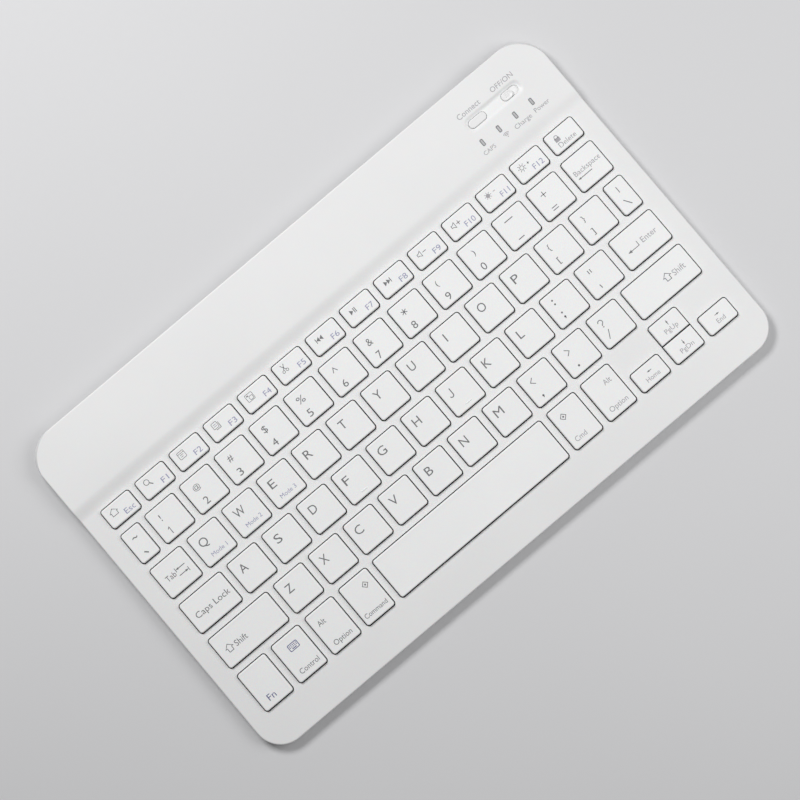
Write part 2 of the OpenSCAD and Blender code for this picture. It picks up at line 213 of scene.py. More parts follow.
def shell(rings, lines, kept, upper, lower):
    """A closed mesh between two height functions, over the part of the plan that kept() chooses."""
    points, edges = [], []
    for ring in rings:
        start, n = len(points), len(ring)
        points += ring
        edges += [(start + k, start + (k + 1) % n) for k in range(n)]
    for line in lines:
        start = len(points)
        points += line
        edges += [(start + k, start + k + 1) for k in range(len(line) - 1)]
    plan = delaunay_2d_cdt([Vector(p) for p in points], edges, [], 0, 1e-5)
    flat = np.array([(p.x, p.y) for p in plan[0]])
    tris = np.array([f for f in plan[2] if len(f) == 3])
    a, b, c = (flat[tris[:, k]] for k in range(3))
    area = (b[:, 0] - a[:, 0]) * (c[:, 1] - a[:, 1]) - (b[:, 1] - a[:, 1]) * (c[:, 0] - a[:, 0])
    tris[area < 0] = tris[area < 0][:, ::-1]
    tris = tris[(np.abs(area) > 1e-9) & kept((a + b + c) / 3)]
    used, tris = np.unique(tris, return_inverse=True)
    tris = tris.reshape(-1, 3)
    flat = flat[used]
    n = len(flat)
    verts = [(x, y, z) for z_of in (upper, lower) for (x, y), z in zip(flat.tolist(), z_of(flat).tolist())]
    directed = {(t[k], t[(k + 1) % 3]) for t in tris.tolist() for k in range(3)}
    rim = sorted(e for e in directed if e[::-1] not in directed)
    faces = [tuple(t) for t in tris.tolist()]
    faces += [(t[2] + n, t[1] + n, t[0] + n) for t in tris.tolist()]
    faces += [(q, p, p + n, q + n) for p, q in rim]
    return verts, faces


# ---- materials

GRAIN_DEPTH = 0.00002    # in metres, as the shader's lengths are
ROUGH_SPREAD = 0.08


def set_sockets(node, **values):
    """Sets a node's input sockets, with _ for each space in their names."""
    for socket, value in values.items():
        node.inputs[socket.replace("_", " ")].default_value = value
    return node


def surface(name, light, dark, rough, patch, grain, bump=0.1, stretch=(1, 1, 1), **sockets):
    """A procedural finish: the colour drifts between two shades, a fine grain moves roughness and bump."""
    m = bpy.data.materials.new(name)
    m.use_nodes = True
    nodes, links = m.node_tree.nodes, m.node_tree.links
    shader = set_sockets(nodes["Principled BSDF"], **sockets)

    def add(kind, **values):
        return set_sockets(nodes.new("ShaderNode" + kind), **values)

    def link(source, output, target, socket):
        links.new(source.outputs[output], target.inputs[socket])

    def noise(scale, detail):
        texture = add("TexNoise", Scale=scale, Detail=detail)
        link(mapping, "Vector", texture, "Vector")
        return texture

    where = add("TexCoord")
    mapping = add("Mapping", Scale=stretch)
    link(where, "Object", mapping, "Vector")
    broad, fine = noise(patch, 3), noise(grain, 2)
    ramp = add("ValToRGB")
    for stop, position, shade in zip(ramp.color_ramp.elements, (0.3, 0.7), (dark, light)):
        stop.position = position
        stop.color = (*shade, 1)
    link(broad, "Fac", ramp, "Fac")
    link(ramp, "Color", shader, "Base Color")
    span = add("MapRange", To_Min=rough - ROUGH_SPREAD, To_Max=rough + ROUGH_SPREAD)
    link(fine, "Fac", span, "Value")
    link(span, "Result", shader, "Roughness")
    relief = add("Bump", Strength=bump, Distance=GRAIN_DEPTH)
    link(fine, "Fac", relief, "Height")
    link(relief, "Normal", shader, "Normal")
    return m


def ink(name, light, dark):
    return surface(name, light, dark, 0.55, patch=900, grain=9000, bump=0.2)


case_white = surface("case_white", (0.8, 0.8, 0.8), (0.78, 0.78, 0.782), 0.42, patch=25, grain=5200,
                     bump=0.35, Subsurface_Weight=0.04, Subsurface_Scale=0.002)
key_white = surface("key_white", (0.865, 0.865, 0.865), (0.85, 0.85, 0.852), 0.38, patch=60, grain=7500,
                    bump=0.2, Subsurface_Weight=0.04, Subsurface_Scale=0.002)
control_white = surface("control_white", (0.81, 0.81, 0.81), (0.79, 0.79, 0.792), 0.35, patch=90, grain=7500,
                        bump=0.15)
ink_grey = ink("ink_grey", (0.18, 0.18, 0.185), (0.16, 0.16, 0.165))
ink_violet = ink("ink_violet", (0.33, 0.33, 0.47), (0.29, 0.29, 0.43))
ink_pale = ink("ink_pale", (0.38, 0.37, 0.39), (0.34, 0.33, 0.35))
ink_indigo = ink("ink_indigo", (0.14, 0.14, 0.28), (0.12, 0.12, 0.25))
INKS = [ink_grey, ink_violet, ink_pale, ink_indigo]
GREY, VIOLET, PALE, INDIGO = range(4)
lamp_grey = surface("lamp_grey", (0.3, 0.3, 0.31), (0.25, 0.25, 0.26), 0.3, patch=500, grain=4000)
lamp_core = surface("lamp_core", (0.52, 0.52, 0.53), (0.46, 0.46, 0.47), 0.35, patch=500, grain=4000)
foot_rubber = surface("foot_rubber", (0.62, 0.62, 0.63), (0.56, 0.56, 0.57), 0.7, patch=150, grain=3500,
                      bump=0.7, Sheen_Weight=0.15)
dome_rubber = surface("dome_rubber", (0.8, 0.8, 0.76), (0.72, 0.72, 0.68), 0.45, patch=300, grain=3000,
                      bump=0.3, Subsurface_Weight=0.3, Subsurface_Scale=0.001)
lever_white = surface("lever_white", (0.8, 0.8, 0.8), (0.74, 0.74, 0.74), 0.4, patch=300, grain=5000,
                      bump=0.25)
# Black membrane film under the keys: partly its own colour, partly painted shade that darkens the gaps round
# the keycaps.
membrane_black_painted_gap_shade = surface("membrane_black_painted_gap_shade", (0.03, 0.03, 0.033), (0.018, 0.018, 0.02), 0.35, patch=120, grain=2500,
                     bump=0.3)
plate_metal = surface("plate_metal", (0.6, 0.61, 0.63), (0.45, 0.46, 0.48), 0.35, patch=80, grain=900,
                      bump=0.4, stretch=(0.15, 6, 1), Metallic=1.0)
steel = surface("steel", (0.66, 0.66, 0.68), (0.55, 0.55, 0.57), 0.28, patch=300, grain=4000, bump=0.2,
                Metallic=1.0)
gold = surface("gold", (0.85, 0.62, 0.25), (0.78, 0.55, 0.2), 0.25, patch=400, grain=4000, Metallic=1.0)
board_green = surface("board_green", (0.02, 0.2, 0.07), (0.012, 0.14, 0.05), 0.3, patch=260, grain=1800,
                      bump=0.5, Coat_Weight=0.4)
resin_black = surface("resin_black", (0.03, 0.03, 0.032), (0.018, 0.018, 0.02), 0.5, patch=400, grain=7000,
                      bump=0.5)
foil = surface("foil", (0.7, 0.71, 0.73), (0.55, 0.56, 0.58), 0.32, patch=90, grain=500, bump=0.9,
               Metallic=1.0)
tape_amber = surface("tape_amber", (0.62, 0.33, 0.04), (0.5, 0.25, 0.03), 0.3, patch=150, grain=1500,
                     bump=0.2, Coat_Weight=0.5)
lead_red = surface("lead_red", (0.5, 0.02, 0.02), (0.42, 0.015, 0.015), 0.4, patch=300, grain=3000, bump=0.2)
lead_black = surface("lead_black", (0.03, 0.03, 0.03), (0.02, 0.02, 0.02), 0.4, patch=300, grain=3000,
                     bump=0.2)


# ---- caps and windows, from the frame

def solids(node):
    """Lowest and highest corners of a CAD node's separate solids, back row first and left to right."""
    mesh = frame["nodes"][node].data
    points = np.array([v.co for v in mesh.vertices]) / MM
    welded = np.unique(points.round(3), axis=0, return_inverse=True)[1].ravel()
    edges = welded[np.array([e.vertices for e in mesh.edges])]
    group = np.arange(len(points))
    while (group[edges[:, 0]] != group[edges[:, 1]]).any():
        np.minimum.at(group, edges, group[edges].min(1, keepdims=True))
    group = group[welded]
    parts = [points[group == number] for number in np.unique(group)]
    boxes = [(Vector(p.min(0)), Vector(p.max(0))) for p in parts]
    return sorted(boxes, key=lambda b: (-round(b[0].y + b[1].y), b[0].x))


class Cap:
    """One keycap's place: its body, number in that body, middle, size and window."""

    def __init__(self, node, number, low, high):
        self.node, self.number = node, number
        self.x, self.y = (low.x + high.x) / 2, (low.y + high.y) / 2
        self.w, self.d = high.x - low.x, high.y - low.y
        self.top, self.skirt = high.z, low.z
        self.radii = [CAP_R] * 4
        self.window = (self.w + 2 * CAP_GAP, self.d + 2 * CAP_GAP, self.x, self.y)


KEY_BODIES = [j["child"] for j in frame["joints"] if j["name"].endswith("_press")
              and j["child"] != "connect_button"]
caps = [Cap(node, number, *box) for node in KEY_BODIES for number, box in enumerate(solids(node))]
up_cap, down_cap = (next(c for c in caps if c.node == n) for n in ("up_arrow_key", "down_arrow_key"))
MEETING_R = 0.15
up_cap.radii = [CAP_R, CAP_R, MEETING_R, MEETING_R]
down_cap.radii = [MEETING_R, MEETING_R, CAP_R, CAP_R]
up_cap.window = (up_cap.w + 2 * CAP_GAP, up_cap.d + down_cap.d + 3 * CAP_GAP, up_cap.x,
                 (up_cap.y + down_cap.y) / 2)
windows = [c.window for c in caps if c is not down_cap]


# ---- case

control_y = sum(corner.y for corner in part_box("connect_button")) / 2 / MM
button_box = box_mm("connect_button")
slider_box = box_mm("power_slider")
button_x = (button_box[0].x + button_box[1].x) / 2
knob_x = (slider_box[0].x + slider_box[1].x) / 2
CONTROL_W = 3.7
CONTROL_R = CONTROL_W / 2 - 0.01
CONTROL_PLAY = 0.3
BUTTON_L = 8.2
SLOT_L = 7.7
KNOB_L = 5.0
KNOB_END_GAP = 0.1
slot_x = knob_x - KNOB_L / 2 - KNOB_END_GAP + SLOT_L / 2
LAMP_W, LAMP_L, LAMP_R = 1.3, 2.9, 0.4
RECESS = (27.4, 7.25, 96.0, control_y - 0.125)
RECESS_R = 3.2
RECESS_DEPTH = 1.05
RECESS_SOFT = 2.0
socket_box = box_mm("charging_socket")
socket_x = (socket_box[0].x + socket_box[1].x) / 2
PORT_W = 8.0
STEP = 0.02    # width of the near-upright steps inside the covers
PORT_SIDES = (PORT_W / 2, PORT_W / 2 + STEP)
PORT_DEPTH = 5
port_top = socket_box[1].z + 0.1
WINDOW_BEVEL = 0.11
FACET_R = 14.4
FACET_SLOPE = 2.2
CASE = (BODY_W, BODY_D, CORNER_R)
CASE_STEPS = 14


def middles(node):
    """Plan middles of a CAD node's separate solids."""
    return [((low.x + high.x) / 2, (low.y + high.y) / 2) for low, high in solids(node)]


lamps = middles("light_guides")
holes = [(w, d, x, y, CAP_R + CAP_GAP) for w, d, x, y in windows]
holes += [(w, CONTROL_W, x, control_y, CONTROL_R) for w, x in ((BUTTON_L, button_x), (SLOT_L, slot_x))]
holes += [(LAMP_W, LAMP_L, x, y, LAMP_R) for x, y in lamps]


def plateau(p):
    """Height of the key field, the ramp and the strip."""
    return FIELD_Z + (STRIP_Z - FIELD_Z) * smooth((p[:, 1] - RAMP[0]) / (RAMP[1] - RAMP[0]))


def recess(p):
    """Depth of the finger recess, which slopes down to the back."""
    w, d, x, y = RECESS
    slope = np.clip((p[:, 1] - (y - d / 2)) / d, 0, 1)
    return RECESS_DEPTH * slope * smooth(inside(p, w, d, RECESS_R, (x, y)) / RECESS_SOFT)


def hole_distance(p):
    """Distance from each point to the nearest window or control opening."""
    return np.min([-inside(p, w, d, r, (x, y)) for w, d, x, y, r in holes], axis=0)


def corner_facet(p):
    """Drop of the steep facets that cut the two back corners."""
    beyond = np.maximum(-inside(p, BODY_W, BODY_D, FACET_R), 0)
    return np.where(p[:, 1] > 0, FACET_SLOPE * beyond, 0)


def seam_groove(edge):
    """Half of the shallow groove that marks the seam all round."""
    return SEAM_GROOVE * (edge < SEAM_GROOVE / 2)


def near_port(p, depth):
    """Whether each point is in the charging port's notch, which reaches that deep from the back edge."""
    return (np.abs(p[:, 0] - socket_x) < PORT_W / 2 + STEP / 2) & (p[:, 1] > BODY_D / 2 - depth)


def cover_top(p):
    return (plateau(p) - recess(p) - rounding(inside(p, *CASE), EDGE_R) - corner_facet(p)
            - rounding(np.maximum(hole_distance(p), 0), WINDOW_BEVEL))


def cover_under(p):
    edge = inside(p, *CASE)
    skin = np.where(edge > WALL + STEP / 2, plateau(p) - SKIN, SEAM_Z + seam_groove(edge))
    return np.where(near_port(p, WALL_FOOT + STEP / 2), np.maximum(skin, port_top), skin)


def cover_kept(p):
    return (inside(p, *CASE) > 0) & (hole_distance(p) > 0)


def port_lines(depth):
    """The sides of the charging port's notch, from that depth out past the back edge."""
    return [[(socket_x + s * half, BODY_D / 2 - depth), (socket_x + s * half, BODY_D / 2 + 0.5)]
            for s in (-1, 1) for half in PORT_SIDES]


def case_rings(insets):
    return [outline(*CASE, i, CASE_STEPS) for i in sorted([0, SEAM_GROOVE, *insets])]


def top_cover():
    rings = case_rings([*rounding_rings(EDGE_R, 6)[1:], EDGE_R + 0.1, WALL, WALL_FOOT])
    rings.append(outline(BODY_W, BODY_D, FACET_R, 0.001, 20))
    for w, d, x, y, r in holes:
        for step in [*rounding_rings(WINDOW_BEVEL, 3), WINDOW_BEVEL + 0.05]:
            rings.append(outline(w, d, r, -step, 6, (x, y)))
    w, d, x, y = RECESS
    recess_insets = [-0.05, *(RECESS_SOFT * k / 9 for k in range(11))]
    rings += [outline(w, d, RECESS_R, i, 8, (x, y)) for i in recess_insets]
    steps = 20
    levels = [RAMP[0] + (RAMP[1] - RAMP[0]) * k / steps for k in range(steps + 1)]
    half = BODY_W / 2 + 1
    lines = [[(-half, level), (half, level)] for level in [levels[0] - 0.1, *levels, levels[-1] + 0.1]]
    lines += port_lines(WALL_FOOT)
    cover = Solid().add(shell(rings, lines, cover_kept, cover_top, cover_under))
    cover.piece("case_top", "case", [case_white], "case_plastic", ["top_cover"], sharp=28)


screws = middles("case_screws")
feet = middles("rubber_feet")
foot_low, foot_high = solids("rubber_feet")[0]
foot_r = (foot_high.x - foot_low.x) / 2
case_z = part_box("bottom_cover")[0].z / MM
FLOOR = 1.0
BASE_R = 1.2
LIP_IN, LIP_OUT, LIP_H = WALL + 0.88, WALL + 0.08, 0.8
SEAM_GAP = 0.02
BOSS_R = 2.6
SCREW_HOLE = 0.9
SCREW_SEAT = 1.75
POCKET_DEPTH = 0.4


def spot_distance(p, spots):
    return np.min([np.hypot(p[:, 0] - x, p[:, 1] - y) for x, y in spots], axis=0)


def base_under(p):
    rise = rounding(inside(p, *CASE), BASE_R)
    seat = np.clip(SCREW_SEAT - spot_distance(p, screws), 0, SCREW_SEAT - SCREW_HOLE)
    pocket = POCKET_DEPTH * smooth((foot_r + 0.25 - spot_distance(p, feet)) / 0.1)
    return case_z + rise + seat + pocket


def base_top(p):
    edge = inside(p, *CASE)
    height = np.where(edge > LIP_OUT + STEP / 2, SEAM_Z + LIP_H, SEAM_Z - SEAM_GAP - seam_groove(edge))
    floor = edge > LIP_IN + STEP / 2
    boss = spot_distance(p, screws) < BOSS_R + STEP / 2
    height = np.where(floor, np.where(boss, SEAM_Z, case_z + FLOOR), height)
    return np.where(near_port(p, PORT_DEPTH) & (edge > 0), np.minimum(height, SEAM_Z - SEAM_GAP), height)


def base_kept(p):
    return (inside(p, *CASE) > 0) & (spot_distance(p, screws) > SCREW_HOLE - 0.01)


def bottom_cover():
    lip = [LIP_OUT, LIP_OUT + STEP, LIP_IN, LIP_IN + STEP]
    rings = case_rings([*rounding_rings(BASE_R, 6)[1:], BASE_R + 0.1, *lip])
    for spot in screws:
        screw_radii = (SCREW_HOLE, SCREW_SEAT - 0.04, SCREW_SEAT, BOSS_R, BOSS_R + STEP)
        rings += [circle(r, 28, spot) for r in screw_radii]
    for spot in feet:
        rings += [circle(foot_r + r, 48, spot) for r in (0.1, 0.15, 0.2, 0.25, 0.32)]
    cover = Solid().add(shell(rings, port_lines(PORT_DEPTH), base_kept, base_top, base_under))
    cover.piece("case_base", "case", [case_white], "case_plastic", ["bottom_cover"], sharp=28)


def rubber_feet():
    """Round feet with a dimple in the middle and a groove near the rim."""
    r, h = foot_r, foot_high.z
    dimple = [(0, 0.12), (1.3, 0.12), (1.5, 0.0)]
    groove = [(r - 1.5, 0.0), (r - 1.35, 0.08), (r - 1.1, 0.08), (r - 0.95, 0.0)]
    rim = [(r - 0.6, 0.0), (r - 0.3, 0.04), (r - 0.1, 0.14), (r, 0.32), (r, h - 0.05), (r - 0.05, h), (0, h)]
    solid = Solid()
    for x, y in feet:
        solid.add(lathe(dimple + groove + rim, 48), (x, y, 0))
    solid.piece("feet", "case", [foot_rubber], "foot_rubber", ["rubber_feet"])


# ---- keycaps

CAP_EDGE = 0.42
CAP_LEAN = 0.08
CAP_TOP = 1.0
DISH = 0.05
CAP_SLACK = 0.05
CAP_SHIFT = 0.05
HOMING_Y = 11.9    # from the window's back edge


def keycap(cap):
    """A hollow cap with a soft rim and a shallow dish, drawn a little smaller than its solid."""
    under = cap.top - CAP_TOP
    levels = [(CAP_WALL + 2.2, under), (CAP_WALL + 0.25, under), (CAP_WALL, under - 0.25),
              (CAP_WALL, cap.skirt + 0.1), (CAP_WALL - 0.1, cap.skirt), (0.12, cap.skirt),
              (0, cap.skirt + 0.12)]
    for k in range(7):
        a = math.radians(90 * k / 6)
        levels.append((CAP_LEAN + CAP_EDGE * (1 - math.cos(a)), cap.top - CAP_EDGE * (1 - math.sin(a))))
    rim = CAP_LEAN + CAP_EDGE
    for k in range(1, 5):
        levels.append((rim + 0.3 * k, cap.top - DISH * float(smooth(k / 4))))
    levels.append((rim + 2.0, cap.top - DISH))
    return stack(cap.w, cap.d, cap.radii, [(i + CAP_SLACK, z) for i, z in levels], 7)


def homing_bar():
    """The low ridge that marks the two home keys."""
    levels = ((0.0, -0.1), (0.0, 0.07), (0.06, 0.13), (0.16, 0.17), (0.22, 0.18))
    return stack(3.0, 0.5, 0.25, levels, 5)


# ---- legends

@cache
def glyphs(text):
    """A text of size 1 as closed flat letters, starting at the origin on its baseline."""
    curve = bpy.data.curves.new("letters", "FONT")
    curve.body = text
    curve.size = 1.0
    curve.extrude = 0.01
    curve.resolution_u = 3
    obj = add_object("letters", curve)
    bpy.context.view_layer.update()
    mesh = bpy.data.meshes.new_from_object(obj.evaluated_get(bpy.context.evaluated_depsgraph_get()))
    verts = [tuple(v.co) for v in mesh.vertices]
    faces = [tuple(p.vertices) for p in mesh.polygons]
    bpy.data.objects.remove(obj)
    bpy.data.curves.remove(curve)
    bpy.data.meshes.remove(mesh)
    return verts, faces


def extent(verts):
    xs, ys = [v[0] for v in verts], [v[1] for v in verts]
    return min(xs), max(xs), min(ys), max(ys)


CAPITAL = extent(glyphs("H")[0])[3]


def words(text, height, span=None):
    """A centred text. Its capitals, or the whole of a sign, are that high; span is its whole width."""
    verts, faces = glyphs(text)
    x0, x1, y0, y1 = extent(verts)
    low, high = (0, CAPITAL) if any(c.isalnum() for c in text) else (y0, y1)
    tall = height / (high - low)
    wide = span / (x1 - x0) if span else tall
    placed = [((vx - (x0 + x1) / 2) * wide, (vy - (low + high) / 2) * tall, INK if vz > 0 else -INK)
              for vx, vy, vz in verts]
    return placed, faces


def stroke(points, width, closed=False):
    """A flat line of ink with mitred corners."""
    rings = []
    n = len(points)
    for k, (x, y) in enumerate(points):
        ahead = points[(k + 1) % n] if closed or k < n - 1 else None
        behind = points[k - 1] if closed or k > 0 else None
        arms = [Vector(b) - Vector(a) for a, b in ((behind, (x, y)), ((x, y), ahead)) if a and b]
        arms = [a.normalized() for a in arms]
        along = sum(arms, Vector((0, 0))).normalized()
        side = Vector((-along.y, along.x)) * (width / 2 / max(along.dot(arms[0]), 0.5))
        rings.append([(x + side.x, y + side.y, -INK), (x - side.x, y - side.y, -INK),
                      (x - side.x, y - side.y, INK), (x + side.x, y + side.y, INK)])
    return loft(rings, closed)


def filled(points):
    return loft([at_height(points, -INK), at_height(points, INK)])


def arc(radius, start, end, at=(0, 0), steps=8):
    turns = [math.radians(start + (end - start) * k / steps) for k in range(steps + 1)]
    return [(at[0] + radius * math.cos(a), at[1] + radius * math.sin(a)) for a in turns]


def arrow(length, dx, dy, head, width=0.26):
    """An arrow of that length, centred on the origin, towards (dx, dy)."""
    tip = (dx * length / 2, dy * length / 2)
    base = (tip[0] - dx * head * 1.5, tip[1] - dy * head * 1.5)
    side = (dy * head / 2, -dx * head / 2)
    point = [(base[0] + side[0], base[1] + side[1]), tip, (base[0] - side[0], base[1] - side[1])]
    return [stroke([(-tip[0], -tip[1]), base], width), filled(point)]


def line(x0, y0, x1, y1, width=0.26):
    return stroke([(x0, y0), (x1, y1)], width)


def dot(radius, x=0, y=0):
    return filled(circle(radius, 14, (x, y)))


def speaker():
    half = [(-2.05, 0.45), (-1.45, 0.45), (-0.45, 1.15)]
    return stroke(half + [(x, -y) for x, y in half[::-1]], 0.24, True)


def plus(x, y, size, width=0.26):
    return [line(x - size, y, x + size, y, width), line(x, y - size, x, y + size, width)]


def rays(count, inner, outer, width=0.22):
    turns = [math.radians(90 + 360 * k / count) for k in range(count)]
    return [line(inner * math.cos(a), inner * math.sin(a), outer * math.cos(a), outer * math.sin(a), width)
            for a in turns]


def triangle(x, size, way=1):
    points = [(x - way * size / 2, -size * 0.75), (x + way * size / 2, 0), (x - way * size / 2, size * 0.75)]
    return filled(points if way > 0 else points[::-1])


def bar(x, y, width, height):
    return filled(outline(width, height, 0.03, 0, 1, (x, y)))


def frame_line(x, y, w, h, width=0.2):
    return stroke(outline(w, h, 0.3, 0, 2, (x, y)), width, True)


def comma(x, y):
    return [dot(0.42, x, y), line(x + 0.22, y - 0.05, x - 0.15, y - 0.8, 0.3)]


ICONS = {
    "home": [stroke([(-1.8, -0.05), (0, 1.4), (1.8, -0.05), (1.25, -0.05), (1.25, -1.4), (-1.25, -1.4),
                     (-1.25, -0.05)], 0.24, True)],
    "search": [stroke(circle(1.05, 20, (-0.35, 0.45)), 0.26, True), line(0.45, -0.35, 1.5, -1.5, 0.4)],
    "page": [frame_line(0, 0, 2.9, 2.9), line(-1.3, 0.75, 1.3, 0.75, 0.2),
             line(-0.75, 0.05, 0.75, 0.05, 0.2), line(-0.75, -0.65, 0.3, -0.65, 0.2)],
    "copy": [frame_line(-0.25, 0.3, 2.3, 2.5), stroke([(1.4, 0.9), (1.4, -1.5), (-0.7, -1.5)], 0.24),
             line(-0.9, 0.65, 0.4, 0.65, 0.18), line(-0.9, -0.05, 0.4, -0.05, 0.18)],
    "paste": [frame_line(0, 0, 3.1, 3.0), frame_line(0.4, -0.4, 1.5, 1.5), bar(-0.7, 0.8, 0.8, 0.5)],
    "cut": [stroke(circle(0.5, 14, (x, -1.15)), 0.22, True) for x in (-0.8, 0.8)]
           + [line(-0.55, -0.7, 0.8, 1.6), line(0.55, -0.7, -0.8, 1.6)],
    "previous": [bar(-1.5, 0, 0.3, 2), triangle(-0.65, 1.35, -1), triangle(0.75, 1.35, -1)],
    "play": [triangle(-0.6, 1.4), bar(0.5, 0, 0.34, 2), bar(1.15, 0, 0.34, 2)],
    "next": [triangle(-0.75, 1.35), triangle(0.65, 1.35), bar(1.5, 0, 0.3, 2)],
    "quieter": [speaker(), line(0.3, 0, 1.9, 0)],
    "louder": [speaker()] + plus(1.15, 0, 0.9),
    "dimmer": [dot(0.8)] + rays(8, 0.8, 1.5) + [line(2.45, 0.1, 3.45, 0.1)],
    "brighter": [stroke(circle(0.8, 16), 0.22, True)] + rays(8, 1.1, 1.7) + plus(3.0, 0.1, 0.5, 0.24),
    "lock": [filled(outline(2.2, 1.6, 0.15, 0, 2, (0, -0.6))),
             stroke([(0.7, -0.1)] + arc(0.7, 0, 180, (0, 0.5)) + [(-0.7, -0.1)], 0.3)],
    "tab_left": [line(-2.2, -0.9, -2.2, 0.9)] + arrow(4.4, -1, 0, 0.9, 0.32),
    "tab_right": [line(2.2, -0.9, 2.2, 0.9)] + arrow(4.4, 1, 0, 0.9, 0.32),
    "long_left": arrow(6.7, -1, 0, 0.85, 0.3),
    "left": arrow(2.1, -1, 0, 0.75),
    "right": arrow(2.1, 1, 0, 0.75),
    "up": arrow(2.1, 0, 1, 0.75),
    "down": arrow(2.1, 0, -1, 0.75),
    "shift": [stroke([(0, 1.6), (1.7, 0.05), (0.95, 0.05), (0.95, -1.5), (-0.95, -1.5), (-0.95, 0.05),
                      (-1.7, 0.05)], 0.27, True)],
    "return": [stroke([(2.5, 1.05), (2.5, -0.95), (-1.2, -0.95)], 0.27),
               filled([(-2.8, -0.95), (-1.1, -1.55), (-1.1, -0.35)])],
    "sign": [stroke([(0, 1.3), (-1.3, 0), (0, -1.3), (1.3, 0)], 0.26, True), dot(0.38)],
    "keys": [frame_line(0, 0, 4.1, 2.6, 0.32), line(-1.0, -0.7, 1.0, -0.7, 0.34)]
            + [bar(x, y, 0.4, 0.4) for x in (-1.45, -0.72, 0, 0.72, 1.45) for y in (0.0, 0.65)],
    "waves": [dot(0.22, 0, -0.8)] + [stroke(arc(r, 45, 135, (0, -0.8)), 0.28) for r in (0.75, 1.3, 1.85)],
    "hook": [stroke([(0.7, 1.7), (0.7, -0.9)] + arc(0.78, -10, -165, (-0.08, -0.95)), 0.4)],
    "one": [stroke([(-0.55, 0.8), (0.15, 1.4), (0.15, -1.45)], 0.32)],
    "star": rays(6, 0, 1.3, 0.3),
    "caret": [stroke([(-1.0, -0.9), (0, 0.9), (1.0, -0.9)], 0.3)],
    "underscore": [line(-1.95, 0, 1.95, 0, 0.36)],
    "hyphen": [line(-1.35, 0, 1.35, 0, 0.36)],
    "plus": plus(0, 0, 1.3, 0.3),
    "equals": [line(-1.28, y, 1.28, y, 0.32) for y in (-0.53, 0.53)],
    "grave": [line(-0.65, 0.6, 0.65, -0.6, 0.5)],
    "upright": [line(0, -1.3, 0, 1.3, 0.3)],
    "backslash": [line(-1.0, 1.5, 1.0, -1.5, 0.36)],
    "question": [stroke(arc(0.95, 170, -50, (0, 0.65)) + [(0.05, -0.45), (0.05, -0.85)], 0.32),
                 dot(0.25, 0.05, -1.4)],
    "slash": [line(-0.9, -1.65, 0.9, 1.65, 0.3)],
    "colon": [dot(0.38, 0, 0.8), dot(0.38, 0, -0.95)],
    "semicolon": [dot(0.38, 0, 1.0)] + comma(0, -0.9),
    "double_quote": [line(x, -0.8, x, 0.8, 0.33) for x in (-0.5, 0.5)],
    "quote": [line(0.1, -0.8, -0.1, 0.8, 0.36)],
    "less": [stroke([(0.8, 1.35), (-0.75, 0), (0.8, -1.35)], 0.3)],
    "more": [stroke([(-0.8, 1.35), (0.75, 0), (-0.8, -1.35)], 0.3)],
    "comma": comma(0, 0.25),
    "stop": [dot(0.45)],
}


# A mark is a text or a colon and an icon, then its middle from the window's left and back edges, its size,
# width and ink. LETTERS has each capital's middle and width, MODES the second labels' middles.
LETTERS = {"a": (4.8, 3.1), "b": (4.65, 2.65), "c": (4.5, 3.2), "d": (4.85, 3.0), "e": (4.5, 2.6),
           "f": (4.2, 2.5), "g": (4.6, 3.45), "h": (4.65, 2.95), "i": (4.25, None), "k": (4.6, 2.9),
           "l": (4.3, 2.2), "m": (4.8, 3.5), "n": (4.8, 3.1), "o": (4.95, 3.35), "p": (4.55, 2.7),
           "q": (4.85, 3.6), "r": (4.9, 3.0), "s": (4.8, 2.7), "t": (4.95, 2.8), "u": (4.8, 2.75),
           "v": (4.6, 3.15), "w": (5.45, 4.4), "x": (4.5, 3.0), "y": (5.15, 3.0), "z": (4.6, 2.8)}
MODES = {"q": ("Mode 1", 7.9), "w": ("Mode 2", 7.75), "e": ("Mode 3", 7.5)}
FUNCTION_ROW = [    # an icon and its middle, a label, its middle and width
    ("home", 4.55, 3.6, "Esc", 10.25, 4.75), ("search", 4.6, 3.5, "F1", 10.65, 2.95),
    ("page", 4.35, 3.65, "F2", 10.15, 3.3), ("copy", 4.45, 3.6, "F3", 10.5, 3.3),
    ("paste", 4.4, 3.55, "F4", 10.7, 3.1), ("cut", 4.35, 3.55, "F5", 10.8, 3.1),
    ("previous", 4.85, 3.75, "F6", 10.5, 3.25), ("play", 4.5, 3.85, "F7", 10.7, 3.1),
    ("next", 4.7, 3.8, "F8", 10.5, 3.25), ("quieter", 4.95, 3.8, "F9", 10.25, 3.3),
    ("louder", 4.9, 3.85, "F10", 9.85, 4.55), ("dimmer", 4.25, 3.5, "F11", 10.25, 3.9, PALE),
    ("brighter", 4.0, 3.65, "F12", 9.85, 4.7)]


def digit(char, x, span=2.0):
    return (char, x, 10.85, 2.95, span)


def function(icon, icon_x, icon_y, label, x, span, slot=GREY):
    return [(":" + icon, icon_x, icon_y, 1, None, slot), (label, x, 6.3, 2.2, span, VIOLET)]


def arrow_key(icon, label, x, span, icon_y=3.4, label_y=5.87):
    return [(":" + icon, x, icon_y), (label, x, label_y, 1.85, span, PALE)]


